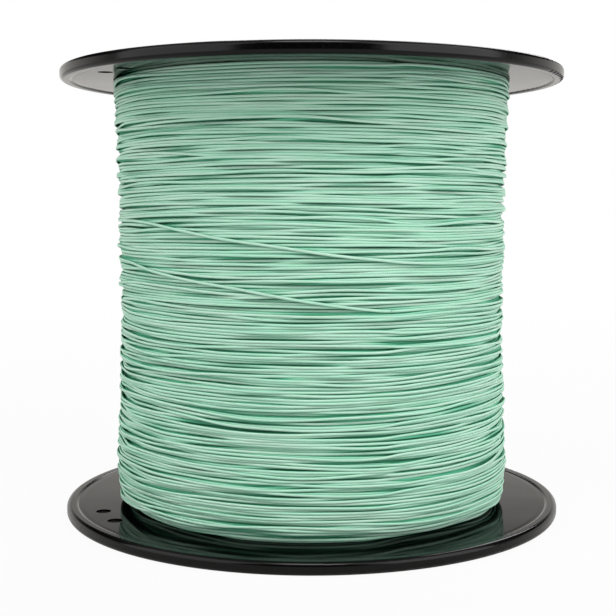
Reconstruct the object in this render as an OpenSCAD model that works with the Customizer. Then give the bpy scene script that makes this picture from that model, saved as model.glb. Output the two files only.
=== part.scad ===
// Bulk fishing line spool: two moulded flanges snapped onto a barrel, an arbor tube between
// their hubs for a spindle, and one braided line wound on the barrel from flange to flange.
// +Z runs up the spool's axis, and z = 0 is the plane that the lower rim stands on.

/* [Spool] */
// Outer diameter of both flanges
flange_d = 165; // [155:1:175]
// Height from the lower rim's foot to the upper rim's top
spool_h = 146; // [130:1:160]
// Direction of the level line about which the lower flange, turned over, makes the upper one
turn_over_angle = -150; // [-160:1:-140]

/* [Flange] */
// Thickness of the rounded bead that edges a flange
rim_t = 4; // [3.8:0.1:4.5]
// Width of that bead along the radius
rim_w = 4.2; // [3.6:0.1:5]
// Corner radius of the bead
rim_r = 1.4; // [0.8:0.1:1.5]
// How far the bead stands proud of the web's inner face
rim_step = 0.4; // [0.2:0.1:0.5]
// Thickness of the flat web
web_t = 1.5; // [1.2:0.1:1.6]
// Number of stiffening ribs on the web's outer face
web_ribs = 12; // [6:6:24]
// Width of a stiffening rib
web_rib_w = 1.6; // [1.2:0.1:2.4]
// How far web ribs stay back from the rim's outer plane, and hub ribs from the hub's
rib_setback = 0.3; // [0.2:0.1:0.5]

/* [Hub] */
// Depth of the hub's well below the rim's outer plane
well_depth = 10; // [9:0.5:12]
// Thickness of the well's floor
floor_t = 2; // [1.6:0.1:2.6]
// Wall of the spigot that enters the barrel
spigot_wall = 2.2; // [1.8:0.1:2.8]
// Length of the spigot past the web's inner face
spigot_len = 15; // [14:0.5:20]
// Number of ribs between the boss and the spigot
hub_ribs = 6; // [3:3:12]
// Width of a hub rib
hub_rib_w = 1.8; // [1.4:0.1:2.4]
// Wall of the boss round the arbor tube
boss_wall = 2.5; // [2:0.1:4]
// Length of the boss past the well's floor
boss_len = 8; // [6:0.5:14]
// Thickness of the lip that stops the arbor tube
lip_t = 1.6; // [1.2:0.1:2.2]

/* [Holes] */
// Diameter of the holes that lock the line's end
tie_hole_d = 4.8; // [4:0.1:5.6]
// Distance between the two holes of a pair
tie_hole_gap = 12.7; // [10:0.1:16]
// Direction of the lower flange's first pair, opposite to the second
tie_angle = -154; // [-160:1:-140]
// Diameter of the holes that take a winder's drive pins
drive_hole_d = 9.5; // [7:0.1:10]
// Diameter of the circle of drive holes
drive_circle_d = 54; // [52:1:58]
// Number of drive holes
drive_holes = 3; // [1:2:3]
// Diameter of the hole for the line's start, through the barrel and the spigot
start_hole_d = 2.4; // [1.8:0.1:2.8]
// Height of that hole above the web's inner face
start_hole_up = 3; // [2.5:0.1:3.5]
// Direction of that hole
start_angle = 120; // [110:1:130]

/* [Barrel] */
// Outer diameter of the barrel
barrel_d = 89; // [85:1:92]
// Wall of the barrel
barrel_wall = 2.5; // [2:0.1:3.2]

/* [Arbor] */
// Bore for the spindle
arbor_bore_d = 16; // [13:0.5:18]
// Wall of the arbor tube
arbor_wall = 2.5; // [2:0.1:3.5]

/* [Snaps] */
// Number of snap barbs round each spigot
snaps = 4; // [3:1:6]
// Width of a barb
snap_w = 9; // [6:0.5:12]
// Height of a barb along the axis
snap_h = 3; // [2.5:0.1:4]
// How far a barb reaches past the spigot into its slot
snap_reach = 1.6; // [1.2:0.1:2]
// Distance from the web's inner face to a barb
snap_up = 8; // [7:0.5:10]
// Play between a barb and its slot
snap_play = 0.3; // [0.2:0.1:0.5]
// Radial play wherever one moulding, or the line, seats on another
seat_play = 0.1; // [0.05:0.05:0.15]

/* [Line] */
// Diameter of the braided line
line_d = 1.2; // [1:0.05:1.3]
// Diameter of the winding at its waist
winding_d = 127; // [120:0.5:131]
// How much larger the winding's radius is at its two ends
winding_flare = 2; // [0:0.1:2.4]
// Gap between the winding's ends and the flanges
winding_gap = 1; // [0.6:0.1:1.5]
// Turns of the outer layer that are drawn, fewer than the real line has
turns = 24; // [8:1:24]
// Diameter of the knot at the line's start
knot_d = 3.6; // [3:0.1:3.8]

/* [Hidden] */
$fn = 96;

cut = 1;                                        // how far a cutting shape runs past a face
root = 0.2;                                     // how far a rib or barb enters what it grows from
flange_r = flange_d / 2;
bead_in_r = flange_r - rim_w;
barrel_r = barrel_d / 2;
barrel_bore_r = barrel_r - barrel_wall;
web_in_z = rim_t - rim_step;                    // the lower web's inner face
web_out_z = web_in_z - web_t;
spigot_r = barrel_bore_r - seat_play;
well_r = spigot_r - spigot_wall;
arbor_r = arbor_bore_d / 2 + arbor_wall;
socket_r = arbor_r + seat_play;
boss_r = socket_r + boss_wall;
lip_z = web_out_z + lip_t;                      // where the arbor tube stops
winding_edge_r = winding_d / 2 + winding_flare;
tie_r = (winding_edge_r + bead_in_r) / 2;       // midway between a full winding and the bead
tie_half_angle = asin(tie_hole_gap / 2 / tie_r);
start_z = web_in_z + start_hole_up;

// ---- Flange: drawn standing on its outer face, with the spigot pointing up

module bead() {
    for (r = [bead_in_r + rim_r, flange_r - rim_r], z = [rim_r, rim_t - rim_r])
        translate([r, z]) circle(r = rim_r);
    translate([bead_in_r + rim_r, 0]) square([rim_w - 2 * rim_r, rim_t]);
    translate([bead_in_r, rim_r]) square([rim_w, rim_t - 2 * rim_r]);
}

module flange_profile() {
    bead();
    // Web and spigot
    translate([well_r, web_out_z]) square([bead_in_r + rim_w / 2 - well_r, web_t]);
    translate([well_r, web_out_z]) square([spigot_wall, web_t + spigot_len]);
    // The well's floor, the boss on it and the lip that stops the arbor tube
    translate([boss_r - root, well_depth]) square([well_r - boss_r + 2 * root, floor_t]);
    translate([socket_r, web_out_z]) square([boss_wall, well_depth + floor_t + boss_len - web_out_z]);
    translate([arbor_bore_d / 2, web_out_z]) square([boss_r - arbor_bore_d / 2, lip_t]);
}

module radial_ribs(count, from_r, to_r, from_z, to_z, width) {
    for (i = [0:count - 1])
        rotate((i + 0.5) * 360 / count)
            translate([from_r, -width / 2, from_z])
                cube([to_r - from_r, width, to_z - from_z]);
}

// A barb has a ramp towards the spigot's end and a flat side that holds the barrel
module snap_barbs() {
    for (i = [0:snaps - 1])
        rotate(i * 360 / snaps)
            translate([0, 0, web_in_z + snap_up])
                intersection() {
                    translate([0, -snap_w / 2, 0]) cube([barrel_r, snap_w, snap_h]);
                    rotate_extrude()
                        polygon([[spigot_r - root, 0], [spigot_r + snap_reach, 0],
                                 [spigot_r, snap_h], [spigot_r - root, snap_h]]);
                }
}

module tie_holes() {
    for (side = [0, 180], half = [-1, 1])
        rotate(tie_angle + side + half * tie_half_angle)
            translate([tie_r, 0, web_out_z - cut])
                cylinder(d = tie_hole_d, h = web_t + 2 * cut);
}

module drive_hole_cuts() {
    for (i = [0:drive_holes - 1])
        rotate(i * 360 / drive_holes)
            translate([drive_circle_d / 2, 0, well_depth - cut])
                cylinder(d = drive_hole_d, h = floor_t + 2 * cut);
}

// The hole for the line's start runs from the well out through the spigot and the barrel
module start_hole() {
    rotate(start_angle)
        translate([well_r - cut, 0, start_z])
            rotate([0, 90, 0])
                cylinder(d = start_hole_d, h = barrel_r - well_r + 2 * cut);
}

module flange() {
    difference() {
        union() {
            rotate_extrude() flange_profile();
            radial_ribs(web_ribs, well_r + root, bead_in_r + root,
                        rib_setback, web_out_z + root, web_rib_w);
            radial_ribs(hub_ribs, boss_r - root, well_r + root,
                        web_out_z + rib_setback, well_depth + root, hub_rib_w);
            snap_barbs();
        }
        tie_holes();
        drive_hole_cuts();
        start_hole();
    }
}

module turned_over() {
    translate([0, 0, spool_h])
        rotate(turn_over_angle) rotate([180, 0, 0]) rotate(-turn_over_angle) children();
}

module lower_flange() {
    color("#15161a") flange();
}

module upper_flange() {
    color("#15161a") turned_over() flange();
}

// ---- Barrel: stands between the webs, with a slot for each barb and a hole for the line's start

module snap_slots() {
    for (i = [0:snaps - 1])
        rotate(i * 360 / snaps)
            translate([barrel_bore_r - cut, -snap_w / 2 - snap_play, web_in_z + snap_up - snap_play])
                cube([barrel_wall + 2 * cut, snap_w + 2 * snap_play, snap_h + 2 * snap_play]);
}

module barrel() {
    color("#1b1c20") difference() {
        translate([0, 0, web_in_z]) cylinder(r = barrel_r, h = spool_h - 2 * web_in_z);
        cylinder(r = barrel_bore_r, h = spool_h);
        snap_slots();
        start_hole();
        turned_over() snap_slots();
        turned_over() start_hole();
    }
}

module arbor_tube() {
    color("#2a2b30") difference() {
        translate([0, 0, lip_z]) cylinder(r = arbor_r, h = spool_h - 2 * lip_z);
        cylinder(d = arbor_bore_d, h = spool_h);
    }
}

// ---- Line: the winding swells from its waist towards both flanges, by a cube law

winding_z0 = web_in_z + winding_gap;
winding_z1 = spool_h - winding_z0;
function winding_r(z) =
    winding_d / 2 + winding_flare * pow(abs(2 * z - spool_h) / (winding_z1 - winding_z0), 3);

line_r = line_d / 2;
line_sides = 6;
turn_rings = 24;
core_steps = 14;
rest_gap = 0.1;                                 // between the line and a face that it lies on
chord_sag = winding_edge_r * (1 - cos(180 / turn_rings));
function core_r(z) = winding_r(z) - line_d - chord_sag - rest_gap;

// All the layers under the outer one, as one packed body on the barrel
module line_inner_layers() {
    outside = [for (i = [0:core_steps])
               let (z = winding_z0 + (winding_z1 - winding_z0) * i / core_steps) [core_r(z), z]];
    foot = [barrel_r + seat_play, winding_z0];
    head = [barrel_r + seat_play, winding_z1];
    color("#74b394") rotate_extrude() polygon(concat([foot], outside, [head]));
}

// The outer layer is one tube. It stands square on the lower web, bends into the turns and climbs
// to the upper web. Then it runs straight to the upper flange's rear pair of tie holes, goes up
// through the first, across, and down through the second.
bend_r = 1.5 * line_d;                          // radius of the line's middle in a tight bend
bend_rings = 4;
rear_tie_angle = 2 * turn_over_angle - tie_angle + 180;
up_hole_angle = rear_tie_angle + tie_half_angle;
down_hole_angle = rear_tie_angle - tie_half_angle;
coil_z0 = web_in_z + line_d + bend_r;
coil_z1 = spool_h - web_in_z - line_r - rest_gap;
across_z = spool_h - web_out_z + line_r + rest_gap;
tail_z = spool_h - web_in_z - line_d;
leave_r = winding_r(coil_z1) - line_r;
leave_angle = up_hole_angle + acos(leave_r / tie_r);

up = [0, 0, 1];
function polar(r, a, z) = [r * cos(a), r * sin(a), z];
function unit(v) = v / norm(v);
// A quarter bend that leaves point p in direction a and ends in direction b
function quarter(p, a, b) =
    [for (i = [1:bend_rings]) let (t = 90 * i / bend_rings) p + bend_r * (sin(t) * a + (1 - cos(t)) * b)];

coil_sweep = turns * 360;
foot_r = winding_r(coil_z0) - line_r;
foot_angle = leave_angle + coil_sweep;
foot_p = polar(foot_r, foot_angle, web_in_z);
foot_top = foot_p + line_d * up;
foot_dir = [sin(foot_angle), -cos(foot_angle), 0];
lead_sweep = atan(bend_r / foot_r);
coil = [for (i = [1:turns * turn_rings])
        let (t = i / (turns * turn_rings), z = coil_z0 + (coil_z1 - coil_z0) * t)
        polar(winding_r(z) - line_r, foot_angle - lead_sweep - (coil_sweep - lead_sweep) * t, z)];

up_hole = polar(tie_r, up_hole_angle, 0);
down_hole = polar(tie_r, down_hole_angle, 0);
leave_p = polar(leave_r, leave_angle, coil_z1);
run_dir = unit(up_hole + coil_z1 * up - leave_p);
run_end = up_hole + coil_z1 * up - bend_r * run_dir;
across_dir = unit(down_hole - up_hole);
across_end = down_hole + across_z * up - bend_r * across_dir;
route = concat([foot_p, foot_top], quarter(foot_top, up, foot_dir), coil,
               [leave_p + line_d * run_dir, run_end], quarter(run_end, run_dir, up),
               quarter(up_hole + (across_z - bend_r) * up, up, across_dir),
               [across_end], quarter(across_end, across_dir, -up), [down_hole + tail_z * up]);
last = len(route) - 1;

// The tube's two ends are cut square, and each other ring faces along its neighbours
function heading(i) = i == 0 ? up : i == last ? -up : unit(route[i + 1] - route[i - 1]);
function ring(i) =
    let (t = heading(i), e = unit([route[i].x, route[i].y, 0]), n = unit(e - (e * t) * t), b = cross(t, n))
    [for (k = [0:line_sides - 1])
     let (a = k * 360 / line_sides) route[i] + line_r * (cos(a) * n + sin(a) * b)];

module line_outer_layer() {
    points = [for (i = [0:last]) each ring(i)];
    walls = [for (i = [0:last - 1], k = [0:line_sides - 1])
             let (p = i * line_sides + k, q = i * line_sides + (k + 1) % line_sides)
             each [[p, p + line_sides, q], [q, p + line_sides, q + line_sides]]];
    foot_face = [for (k = [1:line_sides - 2]) [0, k, k + 1]];
    tail_face = [for (k = [1:line_sides - 2]) [for (v = [0, k + 1, k]) last * line_sides + v]];
    color("#a9dcc3") polyhedron(points, concat(walls, foot_face, tail_face));
}

// The least distance between two stretches of the line that lie half a turn or more apart
line_gap = min([for (i = [0:last], j = [i + turn_rings / 2:1:last]) norm(route[i] - route[j])]) - line_d;
echo(least_gap_of_the_line_to_itself_mm = line_gap);

// The line's start passes through the barrel and the spigot, and a knot in the well holds it
module line_start_knot() {
    knot_at = well_r - seat_play - knot_d / 2;
    color("#a9dcc3") rotate(start_angle) translate([knot_at, 0, start_z]) {
        sphere(d = knot_d);
        rotate([0, 90, 0]) cylinder(d = line_d, h = barrel_r + seat_play - knot_at);
    }
}

lower_flange();
upper_flange();
barrel();
arbor_tube();
line_inner_layers();
line_outer_layer();
line_start_knot();
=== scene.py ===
# %% [markdown]
# # A full bulk spool of braided fishing line
# The real object is two flat moulded flanges on a hollow barrel, with some hundreds of metres of thin
# braided line wound between them. Four of its seven solids are hard mouldings with exact shapes, so they are
# shown as they come and only get a finish. The line is what makes the spool look real: thousands of
# crossings, small gaps and a few strands that stray. Drawing those by hand never looks right, so this lesson
# winds the line: each turn is dropped on the ones before it, and the gaps and crossings come by themselves.

import math

import bpy
import numpy as np
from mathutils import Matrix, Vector
from numpy.lib.stride_tricks import sliding_window_view


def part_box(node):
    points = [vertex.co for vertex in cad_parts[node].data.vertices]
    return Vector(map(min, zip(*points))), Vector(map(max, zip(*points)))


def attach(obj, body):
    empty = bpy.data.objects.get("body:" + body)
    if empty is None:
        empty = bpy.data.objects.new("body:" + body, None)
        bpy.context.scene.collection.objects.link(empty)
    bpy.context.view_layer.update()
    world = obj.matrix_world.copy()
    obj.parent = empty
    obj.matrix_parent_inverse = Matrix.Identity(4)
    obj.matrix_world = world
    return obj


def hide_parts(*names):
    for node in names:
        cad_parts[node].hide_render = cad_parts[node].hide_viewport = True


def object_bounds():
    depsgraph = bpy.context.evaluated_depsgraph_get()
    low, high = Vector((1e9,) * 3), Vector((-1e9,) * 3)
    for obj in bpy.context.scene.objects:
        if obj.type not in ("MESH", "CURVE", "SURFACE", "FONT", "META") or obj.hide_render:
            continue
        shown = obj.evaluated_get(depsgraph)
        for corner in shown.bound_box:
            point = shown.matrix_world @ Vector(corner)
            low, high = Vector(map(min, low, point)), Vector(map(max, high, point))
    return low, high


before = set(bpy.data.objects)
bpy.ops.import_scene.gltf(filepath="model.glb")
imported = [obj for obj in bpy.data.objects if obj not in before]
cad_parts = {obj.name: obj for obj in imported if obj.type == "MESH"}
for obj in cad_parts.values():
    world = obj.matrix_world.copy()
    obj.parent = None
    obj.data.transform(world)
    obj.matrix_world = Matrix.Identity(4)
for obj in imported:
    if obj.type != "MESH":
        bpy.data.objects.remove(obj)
cad_low, cad_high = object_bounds()
print("packed box", [round(v, 4) for v in (*cad_low, *cad_high)])

# %% [markdown]
# ## Sizes
# Everything is in metres in the part's own frame: the spool stands on the plane z = 0 and its axis is the z
# axis. The few sizes below are those of the mouldings that the line meets. The rest follows from them.

# %% Sizes that the line has to fit
mm = 0.001
degree = math.pi / 180
spool_h = cad_high.z
web_face = 3.6 * mm                # from a flange's rim plane to the inner face of its web
web_back = 2.1 * mm                # from a flange's rim plane to the outer face of its web
line_r = 0.49 * mm                 # half the line's width
flat = 0.7                         # thickness of a turn under tension, as a share of its width
barrel_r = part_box("barrel")[1].x
low_edge = web_face + line_r
high_edge = spool_h - web_face - line_r
print("line runs from", round(low_edge, 4), "to", round(high_edge, 4), "on a barrel of radius", barrel_r)

# %% [markdown]
# ## The camera
# The spool is seen from the front, a little from above, at arm's length. The lens is a short telephoto,
# which keeps the two flanges nearly the same size, and the camera stands a bit higher than the spool's
# middle, so that the top of the lower flange and the underside of the upper one both show.

# %% Camera
frame_px = 616                     # the picture is square
focal_px = 1184
axis_px = 311.7                    # column of the picture in which the spool's axis stands
camera_place = (0, -0.4007, 0.1019)
camera_dip = 0.0864                # how far the view points down from level, in radians
camera_data = bpy.data.cameras.new("camera")
camera_data.sensor_width = 36
camera_data.lens = focal_px / frame_px * camera_data.sensor_width
camera_data.shift_x = (frame_px / 2 - axis_px) / frame_px
camera = bpy.data.objects.new("camera", camera_data)
camera.location = camera_place
camera.rotation_euler = (math.pi / 2 - camera_dip, 0, 0)
bpy.context.scene.collection.objects.link(camera)
bpy.context.scene.camera = camera
bpy.context.scene.view_settings.view_transform = "Standard"
print("lens", round(camera_data.lens, 1), "mm")

# %% [markdown]
# ## One builder for every new surface
# Both a tube and a turned ring are a grid of points: rows along the piece and columns round it. So one
# function is enough to put any of them into a mesh. It takes whole arrays, closes the columns round, and
# either joins the last row to the first or puts a lid on each end.

# %% Grid to mesh
def grid_piece(name, points, run, sunk, ring=False):
    """Makes a mesh from points[row, column]. Corner order is (row, column), (row, column + 1),
    (row + 1, column + 1), (row + 1, column), so faces point outwards where columns turn left about the
    rows' direction. run is each row's distance along the piece: it becomes the map's first number, and the
    share of the way round becomes its second. sunk is how deep each row lies below its neighbours, in
    millimetres. ring joins the last row to the first instead of adding lids."""
    rows, cols = points.shape[:2]
    row, col = np.meshgrid(np.arange(rows if ring else rows - 1), np.arange(cols), indexing="ij")
    ahead, beside = (row + 1) % rows, (col + 1) % cols
    quads = np.stack([row * cols + col, row * cols + beside,
                      ahead * cols + beside, ahead * cols + col], -1)
    lids = [] if ring else [np.arange(cols)[::-1], (rows - 1) * cols + np.arange(cols)]
    corners = np.concatenate([quads.ravel(), *lids])
    sizes = np.concatenate([np.full(quads.size // 4, 4), [len(lid) for lid in lids]]).astype(int)
    mesh = bpy.data.meshes.new(name)
    mesh.vertices.add(rows * cols)
    mesh.vertices.foreach_set("co", points.astype(np.float32).ravel())
    mesh.loops.add(len(corners))
    mesh.loops.foreach_set("vertex_index", corners.astype(np.int32))
    mesh.polygons.add(len(sizes))
    mesh.polygons.foreach_set("loop_start", (np.cumsum(sizes) - sizes).astype(np.int32))
    mesh.polygons.foreach_set("use_smooth", np.arange(len(sizes)) < quads.size // 4)
    along = np.stack([run[row], run[row], run[ahead], run[ahead]], -1)
    around = np.stack([col, col + 1, col + 1, col], -1) / cols
    side_map = np.stack([along, around], -1).reshape(-1, 2)
    lid_map = np.zeros((len(corners) - len(side_map), 2))
    mesh.uv_layers.new(name="strand").data.foreach_set(
        "uv", np.concatenate([side_map, lid_map]).astype(np.float32).ravel())
    mesh.attributes.new("sunk", "FLOAT", "POINT").data.foreach_set("value", np.repeat(sunk, cols))
    mesh.update(calc_edges=True)
    piece = bpy.data.objects.new(name, mesh)
    bpy.context.scene.collection.objects.link(piece)
    return piece


def unit(vectors):
    """Each vector divided by its own length."""
    return vectors / np.linalg.norm(vectors, axis=-1, keepdims=True)


def run_along(path):
    """Distance along the path from its first point to each of its points."""
    return np.concatenate([[0], np.cumsum(np.linalg.norm(np.diff(path, axis=0), axis=1))])


def tube(name, path, outward, sides, start=0.0, thick=1.0, sunk=0.0):
    """A tube: a point at angle a of a ring is path + line_r * (thick * cos(a) * out + sin(a) * side), where
    out is the outward direction made square to the path, and side is the path's direction crossed with out.
    start is how far along the line the first ring lies, and sunk how deep each ring lies, both in metres.
    The piece keeps both in millimetres."""
    ahead = unit(np.gradient(path, axis=0))
    out = unit(outward - (outward * ahead).sum(1, keepdims=True) * ahead)
    side = np.cross(ahead, out)
    a = np.arange(sides) * 2 * np.pi / sides
    ring = thick * np.cos(a)[:, None] * out[:, None] + np.sin(a)[:, None] * side[:, None]
    run = start + run_along(path)
    return grid_piece(name, path[:, None] + line_r * ring, run / mm, sunk / mm + np.zeros(len(path)))


# %% [markdown]
# ## How line lies on line
# A winding machine lays the line in a fine screw, back and forth between the flanges. Three things decide
# where a turn really comes to rest. It lies on whatever is already there, so its height at each angle is
# the highest contact under it. It is pulled tight, so it bridges dips: seen along the axis its path can
# only bend one way, like a rubber band round a bumpy drum. And it slips sideways a little, into the nearest
# groove between older turns. The drum's surface is kept as a table of radii, with one column per angle and
# one cell for each few hundredths of a millimetre of height. Each turn is worked out as whole arrays and
# then added to it.

# %% Smoothing and soft noise
turn_samples = 200                 # points in one turn
step_angle = 2 * np.pi / turn_samples
cell = 0.06 * mm


def smooth(values, reach):
    """Average of each value with its neighbours along the first axis. A neighbour x places away counts
    exp(-0.5 * (x / reach) ** 2), up to three reaches. Past both ends the last value is repeated."""
    x = np.arange(-int(3 * reach), int(3 * reach) + 1)
    weights = np.exp(-0.5 * (x / reach) ** 2)
    before, after = np.repeat(values[:1], x[-1], 0), np.repeat(values[-1:], x[-1], 0)
    windows = sliding_window_view(np.concatenate([before, values, after]), len(x), axis=0)
    return windows @ (weights / weights.sum())


def soft_noise(rng, count, reach):
    """Random numbers smoothed over reach and scaled to a spread of one."""
    rough = smooth(rng.standard_normal(count), reach)
    return rough / rough.std()


def kin_noise(rng, count, reach, turns):
    """Soft noise that neighbouring turns share: random numbers smoothed across turns, then along the line."""
    whole = -(-count // turn_samples) + 1
    rough = smooth(rng.standard_normal((whole, turn_samples)), turns).ravel()
    rough = smooth(rough, reach)[:count]
    return rough / rough.std()


# %% The rest position of a turn
press_r = 0.43 * mm                # the line is soft, so pressed turns come a little closer than its width
under = np.arange(-int(press_r / cell), int(press_r / cell) + 1)
cap = np.sqrt(press_r ** 2 - (under * cell) ** 2)
cells = int((spool_h - 2 * web_face) / cell) + 1
cell_z = web_face + cell * np.arange(cells)
slips = np.arange(-6, 7) * 0.09 * mm   # how far a turn may slip sideways into a groove
hold = 0.35 / mm                   # how strongly the guide keeps the line from slipping
stiff = 4                          # samples over which the line keeps its direction
bend = 3                           # samples over which it bends where its route has a corner
bridge = np.arange(-16, 17) * step_angle   # how far ahead and behind a taut turn can rest on a bump


def taut(rest):
    """The tightest path that lies on or outside rest and bends only one way. A straight line at distance d
    from the axis, square to the angle p, has the radius d / cos(a - p) at angle a. For each p the line is
    pushed out until it clears every sample, d = max(rest * cos(a - p)), and at each angle the nearest line
    is kept, min(d / cos(a - p))."""
    half = len(bridge) // 2
    pushed = (sliding_window_view(np.pad(rest, half, mode="edge"), len(bridge)) * np.cos(bridge)).max(1)
    return (sliding_window_view(np.pad(pushed, half, mode="edge"), len(bridge)) / np.cos(bridge)).min(1)


def cells_under(z):
    """The table's cells that a strand at height z lies over."""
    middle = np.rint((z - web_face) / cell).astype(int)
    return np.clip(middle, len(cap) // 2, cells - 1 - len(cap) // 2)[..., None] + under


def lay(wanted, drum):
    """Lays a line whose guide follows the heights in wanted, one turn at a time, on the table drum, and
    returns the height and radius that its middle comes to. At each sample the slip with the least
    contact + hold * slip ** 2 is taken. Each turn is worked out together with the end of the one before it
    and the start of the next, so that nothing jumps where they meet."""
    z, r, slip = np.zeros((3, len(wanted)))
    half = len(bridge) // 2
    for start in range(0, len(wanted), turn_samples):
        low, stop = max(start - half, 0), min(start + turn_samples, len(wanted))
        window = np.arange(low, min(stop + half, len(wanted)))
        old, new = slice(0, start - low), slice(start - low, stop - low)
        column = window % turn_samples
        tries = np.clip(wanted[window, None] + slips, low_edge, high_edge)
        contact = (drum[column[:, None, None], cells_under(tries)] + cap).max(2)
        best = slips[(smooth(contact, stiff) + hold * slips ** 2).argmin(1)]
        best[old] = slip[low:start]
        settled = np.clip(wanted[window] + smooth(best, stiff), low_edge, high_edge)
        settled[old] = z[low:start]
        rest = (drum[column[:, None], cells_under(settled)] + cap).max(1)
        rest[old] = r[low:start]
        slip[start:stop], z[start:stop], r[start:stop] = best[new], settled[new], taut(rest)[new]
        spot = column[new, None], cells_under(z[start:stop])
        drum[spot] = np.maximum(drum[spot], r[start:stop, None] + cap)
    return z, r


# %% [markdown]
# ## The outline of the winding
# The winding isn't a perfect cylinder. It is a little thicker towards the flanges, where the guide turns
# round, has slow waves in between, and falls in right above the lower flange. Fourteen points smoothed
# into one curve say all of that.

# %% Outline of the full winding
outline_z = np.array([3.8, 5.2, 6.6, 20, 30, 46, 62, 78, 90, 106, 122, 137, 140.5, 142.3]) * mm
outline_r = np.array([61.5, 63.5, 65.2, 65.7, 65.1, 64.5, 64.1,
                      64.0, 64.5, 64.2, 64.7, 65.3, 65.4, 65.3]) * mm
outline_cells = 12                 # cells over which its corners are rounded


def outline(z):
    """Radius of the full winding at height z: straight stretches between the outline's points, smoothed."""
    rounded = smooth(np.interp(cell_z, outline_z, outline_r), outline_cells)
    return np.interp(z, cell_z, rounded)


# %% [markdown]
# ## The route of the line
# Four passes are wound, which is about as deep as one can see. The last one comes up from the lower flange
# and stops half way, and from there the line's end climbs across the finished turns: once over the front,
# round the back, over the front again a little higher, and up the back to a pair of tie holes in the upper
# flange. A guide never leads the line quite evenly. So its height has a slow wave that neighbouring turns
# share, a shorter one of each turn's own and a fine shiver, all a little calmer near the flanges.

# %% The passes
pitch = 0.90 * mm
low_turn = low_edge + 2.3 * mm     # where the last passes turn round above the lower flange
stop_z = 71 * mm                   # where the last pass ends
stop_angle = -69 * degree
passes = [(high_edge, low_edge), (low_edge, high_edge), (high_edge, low_turn), (low_turn, stop_z)]
dwell = turn_samples               # at a flange the guide waits for one turn before it comes back
pass_counts = [int(round(abs(b - a) / pitch)) * turn_samples + dwell for a, b in passes]
total = sum(pass_counts)
guide = np.concatenate([np.r_[np.full(dwell, a), np.linspace(a, b, n - dwell)]
                        for (a, b), n in zip(passes, pass_counts)])
print("turns in each pass", [n // turn_samples for n in pass_counts])

# %% The guide's unevenness
rng = np.random.default_rng(11)
shared_wave, shared_reach, shared_turns = 0.50 * mm, 14, 7
own_wave, own_reach = 0.28 * mm, 9
fine_wave, fine_reach = 0.08 * mm, 3.5
wave = (shared_wave * kin_noise(rng, total, shared_reach, shared_turns)
        + own_wave * soft_noise(rng, total, own_reach)
        + fine_wave * soft_noise(rng, total, fine_reach))
calm_span, calm_least = 14 * mm, 0.75
calm = np.clip(np.minimum(guide - low_edge, high_edge - guide) / calm_span, calm_least, 1)
guide = np.clip(guide + calm * wave, low_edge, high_edge)
print("the guide strays by", round(np.std(calm * wave) / mm, 2), "mm")

# %% The line's end, as (degrees travelled, height in millimetres) from where the last pass stops
leave_sweep, leave_z = 586.5, 141.6
tail_points = np.array([(0, 71), (26, 75.2), (77, 83.6), (100, 84.4), (340, 85.2), (363, 86.2),
                        (437, 97.5), (478, 98.1), (leave_sweep, leave_z)])
join_sweep = 12                    # degrees over which it leaves the last turn's own height
tail_count = int(leave_sweep * degree / step_angle)
travelled = np.arange(tail_count) * step_angle / degree
tail_guide = smooth(np.interp(travelled, tail_points[:, 0], tail_points[:, 1] * mm), bend)
tail_guide = tail_guide + (guide[-1] - tail_guide[0]) * np.exp(-travelled / join_sweep)
route = np.concatenate([guide, tail_guide])
print("the line's end has", tail_count, "points up to the tie holes")

# %% [markdown]
# ## Winding
# The drum starts as the outline less the thickness of the passes that are really wound here: four below the
# height where the last one stops, and three above it.

# %% Wind it
layer_step = 0.88 * mm             # what one pass adds to the radius on average
step_cells = 60                    # cells over which the last pass's edge is spread
slack = 0.1 * mm                   # room left so that the full winding stays under its outline
layers_under = np.where(cell_z < stop_z, len(passes), len(passes) - 1)
drum_outline = outline(cell_z) - layer_step * smooth(layers_under.astype(float), step_cells) - slack
drum = np.repeat(drum_outline[None], turn_samples, 0)
line_z, line_rho = lay(route, drum)
print("wound", len(route) // turn_samples, "turns")

# %% [markdown]
# A real winding is pulled tight a thousand times over, which presses its broad bumps level. So the broad
# share of what stands above the outline is measured on the table, once round and over a few millimetres of
# height, and every strand is let down by the amount under it. Single strands are evened out too, but only
# in part, because the small gaps and crossings are what one sees: a deep one comes up by some of its depth,
# and a proud one goes down by most of what it stands out. Strands may overlap a little where they cross.

# %% Press it level
top_span = 1.3 * mm                # the highest strand within this height counts as the winding's top
swell_cells, swell_samples = 22, 8     # how broad a bump has to be to be pressed level
strand_cells = int(top_span / cell)
tops = sliding_window_view(np.pad(drum, ((0, 0), (strand_cells // 2, strand_cells // 2)), mode="edge"),
                           2 * (strand_cells // 2) + 1, axis=1).max(2)
swell = smooth((tops - outline(cell_z)).T, swell_cells)
swell = smooth(np.concatenate([swell.T] * 3), swell_samples)[turn_samples:2 * turn_samples]
at_angle = np.arange(len(route)) % turn_samples
at_cell = np.rint((line_z - web_face) / cell).astype(int)
line_sunk = smooth(tops[at_angle, at_cell] - line_rho - press_r, bend)
line_rho = line_rho - smooth(swell[at_angle, at_cell], bend)
print("pressed down by", round(swell.mean() / mm, 2), "to", round(swell.max() / mm, 2), "mm, mean to most")

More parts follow.
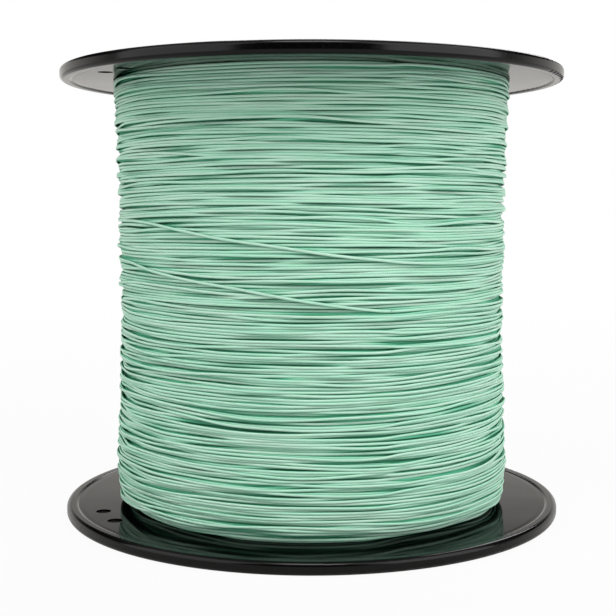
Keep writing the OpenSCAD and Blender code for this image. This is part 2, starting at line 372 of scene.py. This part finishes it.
# %% Even out deep and proud strands
lift_share, lift_depth = 0.4, 0.8 * mm     # a deep strand comes up by this share of up to this depth
proud_share = 0.75                 # a proud strand goes down by this share of what it stands out
proud_margin = 0.15 * mm           # and counts as proud from so far below the outline
fine_bend = 1.2                    # samples over which the last small steps are smoothed away
line_rho = line_rho + lift_share * np.clip(line_sunk, 0, lift_depth)
stands_out = np.maximum(line_rho - outline(line_z) + proud_margin, 0)
stands_out[total:] = 0             # the line's end lies across the others, so it may stand out
line_rho = line_rho - proud_share * smooth(stands_out, bend)
line_z, line_rho = smooth(line_z, fine_bend), smooth(line_rho, fine_bend)
print("deepest strand", round(line_sunk.max() / mm, 2), "mm down")
print("proudest strand", round(stands_out.max() / mm, 2), "mm up")

# %% The line's path
angle = stop_angle - (np.arange(len(route)) - total) * step_angle
outward = np.stack([np.cos(angle), np.sin(angle), np.zeros_like(angle)], -1)
line_path = np.stack([line_rho * np.cos(angle), line_rho * np.sin(angle), line_z], -1)
line_run = run_along(line_path)
print("line wound here", round(line_run[-1], 1), "m")

# %% [markdown]
# ## The turns as pieces
# The line is one strand, but a mesh of all of it would be too heavy to handle. So it is cut at ring planes
# into stretches, each a closed tube that meets the next one face to face. Turns that lie deeper get fewer
# sides, because only slivers of them show.

# %% Stretches of line
ends = np.cumsum([0] + pass_counts)
pass_pieces = [("line_deep_turns", 2, 5), ("line_inner_turns", 2, 6), ("line_outer_turns", 3, 8),
               ("line_top_turns", 2, 8)]
line_pieces = []
for (name, shares, sides), first, last in zip(pass_pieces, ends[:-1], ends[1:]):
    cuts = np.linspace(first, last, shares + 1).astype(int)
    for number, (a, b) in enumerate(zip(cuts[:-1], cuts[1:]), 1):
        part = slice(a, b + 1)
        piece = tube(f"{name}_{number}", line_path[part], outward[part], sides,
                     line_run[a], flat, line_sunk[part])
        line_pieces.append(piece)
        print(piece.name, len(piece.data.polygons) * 2, "triangles")

# %% [markdown]
# ## The line's end
# Where the end leaves the winding it runs straight to the upper flange, goes up through one tie hole, across
# the outside and down through the other, which locks it. A strand can't turn a sharp corner, so the straight
# stretches are sampled finely and smoothed, and the corners become bends.

# %% Tail through the tie holes
tie_r = 71.9 * mm                  # radius of the circle that the tie holes lie on
up_hole, down_hole = 39.07 * degree, 28.93 * degree
fine_step = 0.25 * mm
clear = 0.1 * mm                   # between the line and a face that it passes over
join = 4                           # rings left out on each side where the end meets the winding
knee_bend = 3.2                    # points over which the end bends at a tie hole


def polar(radius, a, z):
    """A point from its radius, angle and height."""
    return np.array([radius * math.cos(a), radius * math.sin(a), z])


def bent_line(corners, softness):
    """Points every fine_step along straight stretches between corners, smoothed so that corners are bends."""
    corners = np.array(corners)
    lengths = run_along(corners)
    at = np.linspace(0, lengths[-1], int(lengths[-1] / fine_step) + 1)
    return smooth(np.stack([np.interp(at, lengths, corners[:, i]) for i in range(3)], -1), softness)


under_web = spool_h - web_face - line_r - clear
over_web = spool_h - web_back + line_r + clear
tip_z = spool_h - web_face - 2.6 * mm
knee = bent_line([line_path[-1], polar(tie_r, up_hole, under_web), polar(tie_r, up_hole, over_web),
                  polar(tie_r, down_hole, over_web), polar(tie_r, down_hole, tip_z)], knee_bend)
tail_path = np.concatenate([line_path[total:-join], knee[join:]])
tail_out = unit(tail_path * np.array([1, 1, 0]))
tail = tube("line_end", tail_path, tail_out, 10, line_run[total], flat)
line_pieces.append(tail)
print("line end", len(tail_path), "rings")

# %% [markdown]
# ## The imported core
# Under the turns that were wound lie hundreds more, which nobody can see. They are one turned ring from the
# barrel up to the drum, with a shallow groove for each turn, so that a deep gap still shows line at its
# bottom. The core is pressed level with the turns on it.

# %% Core
groove_rows = 3                    # rows in each turn of the core, one of which is the groove
core_rows = groove_rows * int((high_edge - low_edge) / pitch)
core_margin = 0.4 * mm             # how far the core reaches past the first and last turn
core_z = np.linspace(low_edge - core_margin, high_edge + core_margin, core_rows)
groove = 0.25 * mm * (np.arange(core_rows) % groove_rows == 0)
under_it = swell[:, np.rint((core_z - web_face) / cell).astype(int)].T
core_r = (np.interp(core_z, cell_z, drum_outline) - groove)[:, None] - under_it
inner_r = np.full((1, turn_samples), barrel_r + clear)
profile_r = np.concatenate([inner_r, core_r, inner_r])
profile_z = np.concatenate([core_z[:1], core_z, core_z[-1:]])
core_a = stop_angle - np.arange(turn_samples) * step_angle
core_points = np.stack([profile_r * np.cos(core_a), profile_r * np.sin(core_a),
                        np.repeat(profile_z[:, None], turn_samples, 1)], -1)
# This full dye is the full deep green painted shade of a sunk turn.
core_sunk = np.full(len(profile_z), 2.0)   # deep enough to keep its full dye
core = grid_piece("line_core", core_points[:, ::-1], profile_z / mm, core_sunk, ring=True)
line_pieces.append(core)
print("core", len(core.data.polygons) * 2, "triangles")

# %% [markdown]
# ## The knot at the line's start
# The line starts inside the lower hub. It comes in through a small hole in the barrel and the hub's wall,
# and an overhand knot stops it there. Closed up, an overhand knot is a trefoil, and a trefoil has a neat
# formula: a point that goes twice round a ring while it goes three times round the ring's own body. Leaving
# out a short share of it gives the knot its two ends, and the ring is sized so that the strand just touches
# itself.

# %% Overhand knot
knot_angle = 120 * degree
knot_rho, knot_z = 37.2 * mm, web_face + 3 * mm
ring_r, body_r, body_h = 2.3 * line_r, 1.06 * line_r, 1.27 * line_r
left_out = 0.1, 0.35               # what is left out at the trefoil's start and end, in radians
t = np.linspace(left_out[0], 2 * np.pi - left_out[1], 110)
rho = ring_r + body_r * np.cos(3 * t)
trefoil = np.stack([rho * np.cos(2 * t), rho * np.sin(2 * t), body_h * np.sin(3 * t)], -1)
radial = np.array([math.cos(knot_angle), math.sin(knot_angle), 0])
across = np.array([-math.sin(knot_angle), math.cos(knot_angle), 0])
knot_axes = np.stack([radial, across, np.array([0, 0, 1.0])])
lead_out = np.array([[2.8 * mm, -0.2 * mm, 0], [barrel_r + clear - knot_rho, 0, 0]])
lead_points = bent_line([trefoil[-1], *lead_out], bend)
knot_local = np.concatenate([trefoil, lead_points[2:]])
knot_path = np.array([0, 0, knot_z]) + knot_rho * radial + knot_local @ knot_axes
knot = tube("line_start_knot_tied", knot_path, np.repeat([[0, 0, 1.0]], len(knot_path), 0), 12)
line_pieces.append(knot)
print("knot", round(float(np.ptp(trefoil[:, 0]) + 2 * line_r) / mm, 2), "mm across")

# %% [markdown]
# ## Shader maths as plain expressions
# A finish is arithmetic on a few signals, so one small class wraps a node's output and lets it be written
# as such: each operator adds one Math node. Every other kind of node comes from its one method, node, and
# the kinds that are used again and again have a short method or function of their own that calls it.

# %% Signals
class Signal:
    """One output of a material's node. Arithmetic on it adds Math nodes."""

    def __init__(self, tree, socket=None):
        self.tree, self.socket = tree, socket

    def node(self, kind, settings=None, sockets=None, out=0):
        """Adds a node of that kind: its settings first, then a value or a Signal for each named socket."""
        made = self.tree.nodes.new(kind)
        for name, value in (settings or {}).items():
            setattr(made, name, value)
        for name, value in (sockets or {}).items():
            if isinstance(value, Signal):
                self.tree.links.new(value.socket, made.inputs[name])
            else:
                made.inputs[name].default_value = value
        return Signal(self.tree, made.outputs[out] if made.outputs else None)

    def math(self, operation, *others):
        """Adds a Math node whose first value is this signal."""
        return self.node("ShaderNodeMath", {"operation": operation}, dict(enumerate((self, *others))))

    def vector(self, operation, *others, out=0, **sockets):
        """Adds a Vector Math node whose first vector is this signal."""
        first = dict(enumerate((self, *others)))
        return self.node("ShaderNodeVectorMath", {"operation": operation}, {**first, **sockets}, out)

    def part(self, axis):
        """The X, Y or Z of a vector."""
        return self.node("ShaderNodeSeparateXYZ", None, {"Vector": self}, axis)

    def __add__(self, other):
        return self.math("ADD", other)

    def __sub__(self, other):
        return self.math("SUBTRACT", other)

    def __rsub__(self, other):
        return self.node("ShaderNodeMath", {"operation": "SUBTRACT"}, {0: other, 1: self})

    def __mul__(self, other):
        return self.math("MULTIPLY", other)

    def __truediv__(self, other):
        return self.math("DIVIDE", other)

    def fit(self, low, high):
        """0 where the signal is at or below low, 1 where it is at or above high, and a soft step between."""
        return self.node("ShaderNodeMapRange", {"interpolation_type": "SMOOTHSTEP"},
                         {"Value": self, "From Min": low, "From Max": high})


def mix_colour(amount, first, second):
    """first where amount is 0 and second where it is 1. Each is a colour or a Signal."""
    first, second = (c if isinstance(c, Signal) else (*c, 1) for c in (first, second))
    return amount.node("ShaderNodeMix", {"data_type": "RGBA"}, {0: amount, 6: first, 7: second}, out=2)


def noise(place, scale, detail):
    """Soft noise between 0 and 1 over a place, with about scale lumps in each unit of it."""
    return place.node("ShaderNodeTexNoise", None, {"Vector": place, "Scale": scale, "Detail": detail})


def noise_along(distance, detail):
    """Soft noise between 0 and 1 along a line, with about one lump in each unit of distance."""
    return distance.node("ShaderNodeTexNoise", {"noise_dimensions": "1D"},
                         {"W": distance, "Scale": 1.0, "Detail": detail})


def new_material(name):
    """An empty material and the signal that its nodes start from."""
    material = bpy.data.materials.new(name)
    material.use_nodes = True
    material.node_tree.nodes.clear()
    return material, Signal(material.node_tree)


def shade(shader):
    """Ends a material in that shader."""
    shader.node("ShaderNodeOutputMaterial", None, {"Surface": shader})


# %% [markdown]
# ## The braid
# The line is plaited from eight fine bundles of fibre, four that wind to the left and four to the right,
# each over one and under one. On the strand's own map that is two families of slanting bands. A band's crown
# is highest along its middle, and it rises where it passes over the other family and sinks where it passes
# under. Whichever family is higher shows. The same height feeds the bump and the gloss, so the gaps between
# bundles are duller, and it feeds the colour, which paints shade into those gaps. Slower noise along the
# strand makes some stretches paler and some greyer, as one dye lot never takes evenly. Shade is painted round
# the strands too: the outer turns keep their pale colour along their crown and get a painted shade of darker
# green at their sides, where they meet their neighbours, and turns sunk below their neighbours get a deep
# green painted shade all round.

# %% Braided line
plait = 0.6                        # millimetres along the strand from one bundle to the next
bundles = 4                        # bundles in each family
own_share, other_share = 0.55, 0.45    # how much a bundle's own crown and the crossing one shape its height
pale_length, grey_length = 60, 7   # millimetres of line over which its tints change


def braided(name, pale, paler, grey, deep, side, hollow_shade):
    """Braided line: the crown wanders between pale and paler, with some grey, and turns to deep, a painted
    shade, with the depth it is sunk by. colour = side, a painted shade, .. crown over the way round, and
    hollow_shade, a painted shade, in the braid's gaps."""
    material, bench = new_material(name)
    strand = bench.node("ShaderNodeUVMap", {"uv_map": "strand"})
    along, around = strand.part("X"), strand.part("Y")
    left, right = along / plait + around * bundles, along / plait - around * bundles
    in_left, in_right = left.math("FRACT"), right.math("FRACT")
    odd = ((left.math("FLOOR") + right.math("FLOOR")) / 2).math("FRACT") * 2
    over = 1 - odd * 2             # 1 where the left family passes over, -1 where it passes under
    crown_left, crown_right = in_left * (1 - in_left) * 4, in_right * (1 - in_right) * 4
    height_left = crown_left * own_share + over * crown_right * other_share
    height_right = crown_right * own_share - over * crown_left * other_share
    height = height_left.math("MAXIMUM", height_right)
    crown = mix_colour(noise_along(along / pale_length, 2.0).fit(0.35, 0.65), pale, paler)
    greyed = mix_colour(noise_along(along / grey_length, 1.0).fit(0.62, 0.8) * 0.25, crown, grey)
    # painted shade: the deeper a turn lies below its neighbours, the more deep green it gets; the same depth
    # makes it duller
    sunk_shade_depth = bench.node("ShaderNodeAttribute", {"attribute_name": "sunk"}, out="Fac").fit(0.3, 1.5)
    facing_out = (around * (2 * math.pi)).math("COSINE")
    # painted shade: the strand's sides, where it meets its neighbours, turn to the darker green side
    side_shaded = mix_colour(facing_out.fit(0.2, 0.74), side, mix_colour(sunk_shade_depth, greyed, deep))
    # painted shade: the braid's gaps between bundles turn to the darker green hollow
    yarn = mix_colour(height.fit(0.1, 0.8), hollow_shade, side_shaded)
    weave = bench.node("ShaderNodeBump", None, {"Height": height, "Strength": 0.9, "Distance": 0.11 * mm})
    shade(bench.node("ShaderNodeBsdfPrincipled", None, {
        "Base Color": yarn, "Roughness": 0.5 - height * 0.12 + sunk_shade_depth * 0.4, "Normal": weave,
        "Specular IOR Level": 0.35}))
    return material


# side, hollow and deep are painted shades: darker greens for a strand's sides, the braid's gaps and sunk
# turns
line_finish = braided("braided_line", pale=(0.42, 0.71, 0.55), paler=(0.51, 0.73, 0.60),
                      grey=(0.56, 0.66, 0.59), deep=(0.09, 0.42, 0.25), side=(0.015, 0.28, 0.13),
                      hollow_shade=(0.08, 0.35, 0.20))
for piece in line_pieces:
    piece.data.materials.append(line_finish)
print("line material nodes", len(line_finish.node_tree.nodes))

# %% [markdown]
# ## Moulded black plastic
# The flanges are a hard, glossy styrene-like plastic, nearly a black mirror on the faces that look at the
# line. What keeps them from looking like glass is small: the surface isn't quite flat, because moulded sheet
# shrinks unevenly; there are hairline scratches from handling; and the rims take the knocks and are scuffed
# a little greyer and duller. The outer sides with their ribs never touch the line, so they needn't be
# polished and are satin. All of that is worked out from the place on the object, in millimetres.
#
# The rim's bead needs one thing more. A rounded edge shows every unevenness of its corner normals as small
# teeth in its highlight. The mesh is never touched, but the bead's section is known exactly, a rectangle
# with rounded corners, so the material can work out the true normal for itself.

# %% The mouldings' section, in millimetres, with heights counted from the spool's middle
flange_r, rim_width, rim_thick, rim_round, rim_step = 82.5, 4.2, 4.0, 1.4, 0.4
bead_edge = flange_r - rim_width
core_out, core_in = flange_r - rim_round, bead_edge + rim_round
half_h = spool_h / 2 / mm
core_far, core_near = half_h - rim_round, half_h - rim_thick + rim_round
bead_from = core_in - math.sqrt(rim_round ** 2 - (rim_round - rim_step) ** 2) + 0.03   # just off the web
web_middle = half_h - (web_face + web_back) / 2 / mm
well_r = 39.7                      # radius of the hub's well
print("bead from", round(bead_from, 2), "to", flange_r, "mm, middle of the web at", round(web_middle, 2))


def bead_normal(at, level, reach):
    """Normal of the rim's bead: it points from the nearest point of the section's core, the rectangle left
    when the corner radius is taken off all round, to the place itself. Inside the bead it's the surface's
    own normal. at is the place, level the same without its height, and reach its distance from the axis."""
    up = at.part("Z") - half_h
    size = up.math("ABSOLUTE")
    out_part = reach - reach.math("MINIMUM", core_out).math("MAXIMUM", core_in)
    up_part = (size - size.math("MINIMUM", core_far).math("MAXIMUM", core_near)) * up.math("SIGN")
    upward = at.node("ShaderNodeCombineXYZ", None, {"Z": up_part})
    both = level.vector("NORMALIZE").vector("SCALE", Scale=out_part).vector("ADD", upward)
    turned = at.node("ShaderNodeVectorTransform", {"vector_type": "NORMAL", "convert_from": "OBJECT",
                                                   "convert_to": "WORLD"}, {"Vector": both})
    own = at.node("ShaderNodeNewGeometry", out="Normal")
    on_bead = reach.math("GREATER_THAN", bead_from)
    return at.node("ShaderNodeMix", {"data_type": "VECTOR"}, {0: on_bead, 4: own, 5: turned}, out=1)


# %% Plastic
scratch_turns = (0.4, 1.5, 2.6)    # directions of the hairline scratches, in radians
satin = (0.012, 0.012, 0.012)
web_ior, rim_ior = 1.16, 1.45      # the inner faces get less reflection than such plastic really has


def plastic(name, colour, gloss, scuff_r):
    """Black moulded plastic: roughness = gloss + smears + scratches, more on the rim and most on the satin
    outer sides, with a dull grey scuff outside the radius scuff_r, in millimetres."""
    material, bench = new_material(name)
    at = bench.node("ShaderNodeTexCoord", out="Object").vector("SCALE", Scale=1 / mm)
    level = at.vector("MULTIPLY", (1, 1, 0))
    reach = level.vector("LENGTH", out="Value")
    smear = noise(at, 0.06, 3.0).fit(0.35, 0.75)
    scratch = 0
    for turn in scratch_turns:
        stretched = bench.node("ShaderNodeMapping", None, {"Vector": at, "Rotation": (0, 0, turn),
                                                           "Scale": (0.35, 9.0, 1.0)})
        scratch = noise(stretched, 0.5, 2.0).fit(0.70, 0.74) + scratch
    scuff = reach.fit(scuff_r - 0.5, scuff_r + 0.3) * noise(at, 1.4, 4.0).fit(0.45, 0.7)
    relief = (1 - reach.fit(bead_edge - 1.3, bead_edge + 0.1)) * (noise(at, 0.045, 1.0) * 0.05
                                                                + scratch * 0.0006)
    shape = bench.node("ShaderNodeBump", None, {"Height": relief, "Strength": 1.0, "Distance": 1 * mm,
                                                "Normal": bead_normal(at, level, reach)})
    at_rim = reach.fit(bead_edge - 0.1, bead_edge + 0.9)
    past_web = (at.part("Z") - half_h).math("ABSOLUTE").fit(web_middle - 0.35, web_middle + 0.35)
    in_well = 1 - reach.fit(well_r + 0.5, well_r + 0.9)
    outside = past_web.math("MAXIMUM", in_well) * (1 - at_rim)
    marks = smear * 0.05 + scratch * 0.05 + scuff * 0.08
    common = {"Base Color": mix_colour(scuff * 0.08 + scratch * 0.03 + outside, colour, satin),
              "Roughness": marks + at_rim * 0.08 + outside * 0.2 + gloss, "Normal": shape}
    web_finish = bench.node("ShaderNodeBsdfPrincipled", None, {**common, "IOR": web_ior})
    rim_finish = bench.node("ShaderNodeBsdfPrincipled", None, {**common, "IOR": rim_ior})
    shade(bench.node("ShaderNodeMixShader", None,
                     {0: at_rim * 0.4 + outside, 1: web_finish, 2: rim_finish}))
    return material


no_scuff = 90.0                    # a radius that nothing reaches
finishes = {
    "lower_flange": plastic("flange_black", (0.0008, 0.0008, 0.0009), 0.075, flange_r - 0.2),
    "barrel": plastic("barrel_black", (0.010, 0.010, 0.011), 0.22, no_scuff),
    "arbor_tube": plastic("arbor_black", satin, 0.38, no_scuff),
}
finishes["upper_flange"] = finishes["lower_flange"]
for node, material in finishes.items():
    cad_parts[node].material_slots[0].material = material
print("finished", sorted(finishes))

# %% [markdown]
# ## Floor and room
# The spool stands in a plain white studio. The floor is a matt grey to the lamps and lights the spool from
# below, as a real floor does. To the camera nearly all of it is white paper, and the little that is left
# matt keeps a faint shadow. In reflections it is a share of that white too: least in front of the spool,
# more behind it and most far away.
#
# The room lights the spool dimly from everywhere and more from both sides, and to the camera it is white
# paper. In reflections it is bright low down behind the spool, half as bright overhead and dark in front,
# as in a studio with one lit wall. That is what makes black plastic read as black.

# %% Floor
floor_half = 1.6                   # half the floor's width
floor_points = np.array([[-1, -1], [1, -1], [1, 1], [-1, 1]]) * floor_half
floor_mesh = bpy.data.meshes.new("floor")
floor_mesh.from_pydata([(x, y, 0) for x, y in floor_points], [], [(0, 1, 2, 3)])
floor = bpy.data.objects.new("floor", floor_mesh)
bpy.context.scene.collection.objects.link(floor)
floor_material, bench = new_material("floor_white")
seen = bench.node("ShaderNodeLightPath", out="Is Camera Ray")
in_gloss = bench.node("ShaderNodeLightPath", out="Is Glossy Ray")
place = bench.node("ShaderNodeTexCoord", out="Object")
away = place.vector("LENGTH", out="Value")
to_eye = seen * (away.fit(0.2, 0.9) * 0.06 + 0.94)
not_in_front = place.part("Y").fit(-0.30, -0.08)
to_shine = in_gloss * (not_in_front * (away.fit(0.8, 1.6) * 0.42 + 0.16) + 0.22)
paper = mix_colour(in_gloss, (1, 1, 1), (1, 0.96, 0.91))
white = bench.node("ShaderNodeEmission", None, {"Color": paper, "Strength": 1.0})
matt = bench.node("ShaderNodeBsdfDiffuse", None, {"Color": (0.5, 0.5, 0.5, 1)})
shade(bench.node("ShaderNodeMixShader", None, {0: to_eye + to_shine, 1: matt, 2: white}))
floor_mesh.materials.append(floor_material)
print("floor", 2 * floor_half, "m wide")

# %% Room
behind_light, below_light, overhead_light, front_light = 1.0, 0.20, 0.5, 0.01     # in reflections
side_light, all_round_light = 0.60, 0.18
world = bpy.data.worlds.new("studio")
bpy.context.scene.world = world
world.use_nodes = True
world.node_tree.nodes.clear()
bench = Signal(world.node_tree)
to_camera = bench.node("ShaderNodeLightPath", out="Is Camera Ray")
to_gloss = bench.node("ShaderNodeLightPath", out="Is Glossy Ray")
direction = bench.node("ShaderNodeTexCoord", out="Generated")
beside = direction.part("X").math("ABSOLUTE").fit(0.4, 1.0)
behind = direction.part("Y").fit(-0.2, 0.5)
above = direction.part("Z")
near_horizon, below_it, overhead = 1 - above.fit(0.19, 0.37), 1 - above.fit(0.0, 0.12), above.fit(0.5, 0.9)
low_light = near_horizon * behind_light + below_it * below_light
reflected = behind * low_light + overhead * overhead_light + front_light
plain = beside * side_light + all_round_light
strength = plain + to_camera * (1 - plain) + to_gloss * (reflected - plain)
paper = mix_colour(to_gloss, (1, 1, 1), (1, 0.98, 0.93))
background = bench.node("ShaderNodeBackground", None, {"Color": paper, "Strength": strength})
bench.node("ShaderNodeOutputWorld", None, {"Surface": background})
print("room nodes", len(world.node_tree.nodes))

# %% [markdown]
# ## Lamps
# Four soft lamps give the winding its form. The key stands to the right and a weaker fill to the left, both
# in front and well to the side, so that the winding looks round. A smaller one above the front draws the
# strands' upper edges, and one behind keeps the back from going dark.

# %% Lamps
def softbox(name, place, aim, width, power):
    """A square area lamp at place, turned to face aim."""
    data = bpy.data.lights.new(name, "AREA")
    data.shape, data.size, data.energy = "SQUARE", width, power
    lamp = bpy.data.objects.new(name, data)
    lamp.location = place
    lamp.rotation_euler = (Vector(aim) - Vector(place)).to_track_quat("-Z", "Y").to_euler()
    bpy.context.scene.collection.objects.link(lamp)


middle = (0, 0, spool_h / 2)
softbox("key", (1.02, -0.64, 0.58), middle, 1.4, 16.5)
softbox("fill", (-1.04, -0.58, 0.56), middle, 1.4, 11.5)
softbox("top", (0.0, -0.75, 1.25), middle, 0.6, 8.0)
softbox("back", (0.25, 1.05, 1.10), middle, 1.0, 14.0)

# %% [markdown]
# ## Hand over
# Each piece of line rides on the spool's one body and takes the line's finish. The turned core and the deep
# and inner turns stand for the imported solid, the outer and top turns and the end stand for the outer one,
# and the tied knot stands for the ball at the line's start.

# %% Ride, replace and finish
stands_for = {"line_core": "line_inner_layers", "line_start_knot_tied": "line_start_knot"}
for piece in line_pieces:
    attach(piece, "root")
    inside = piece.name.startswith(("line_deep", "line_inner"))
    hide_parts(stands_for.get(piece.name, "line_inner_layers" if inside else "line_outer_layer"))
